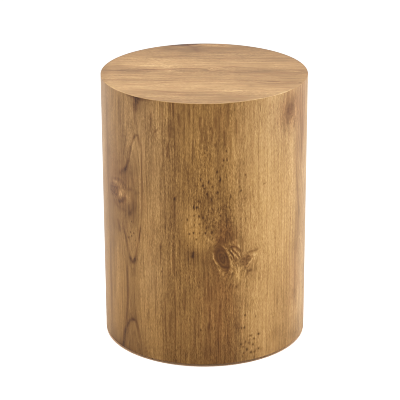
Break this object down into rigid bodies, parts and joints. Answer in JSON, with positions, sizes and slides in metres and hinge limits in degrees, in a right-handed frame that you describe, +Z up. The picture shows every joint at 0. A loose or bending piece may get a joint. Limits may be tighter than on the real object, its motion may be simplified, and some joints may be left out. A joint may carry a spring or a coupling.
{
  "type": "drum side table",
  "caption": "Round drum side table: a plain wood-grain cylinder with a flat top, built as bent plywood over inner rings and battens, standing on low glides.",
  "frame": {"origin": "on the floor, at the middle of the drum's footprint", "axes": "+Z up along the drum's axis, -Y towards the front, where the picture is taken from"},
  "size_m": [0.381, 0.381, 0.508],
  "materials": {
    "wood_laminate": "satin",
    "board_mdf": "matte",
    "bending_plywood": "matte",
    "batten_softwood": "matte",
    "balance_laminate": "matte",
    "dowel_beech": "matte",
    "zinc_steel": "satin",
    "glide_nylon": "satin"
  },
  "bodies": {
    "root": {"top_laminate": "wood_laminate", "side_laminate": "wood_laminate", "top_board": "board_mdf", "base_board": "board_mdf", "top_ring": "board_mdf", "upper_ring": "board_mdf", "lower_ring": "board_mdf", "bottom_ring": "board_mdf", "inner_skin": "bending_plywood", "outer_skin": "bending_plywood", "batten_front": "batten_softwood", "batten_front_right": "batten_softwood", "batten_rear_right": "batten_softwood", "seam_batten": "batten_softwood", "batten_rear_left": "batten_softwood", "batten_front_left": "batten_softwood", "top_balance_sheet": "balance_laminate", "top_dowels": "dowel_beech", "top_screws": "zinc_steel", "base_screws": "zinc_steel", "batten_brads": "zinc_steel", "glide_nails": "zinc_steel", "glide_rear_right": "glide_nylon", "glide_rear_left": "glide_nylon", "glide_front_left": "glide_nylon", "glide_front_right": "glide_nylon"}
  },
  "joints": []
}
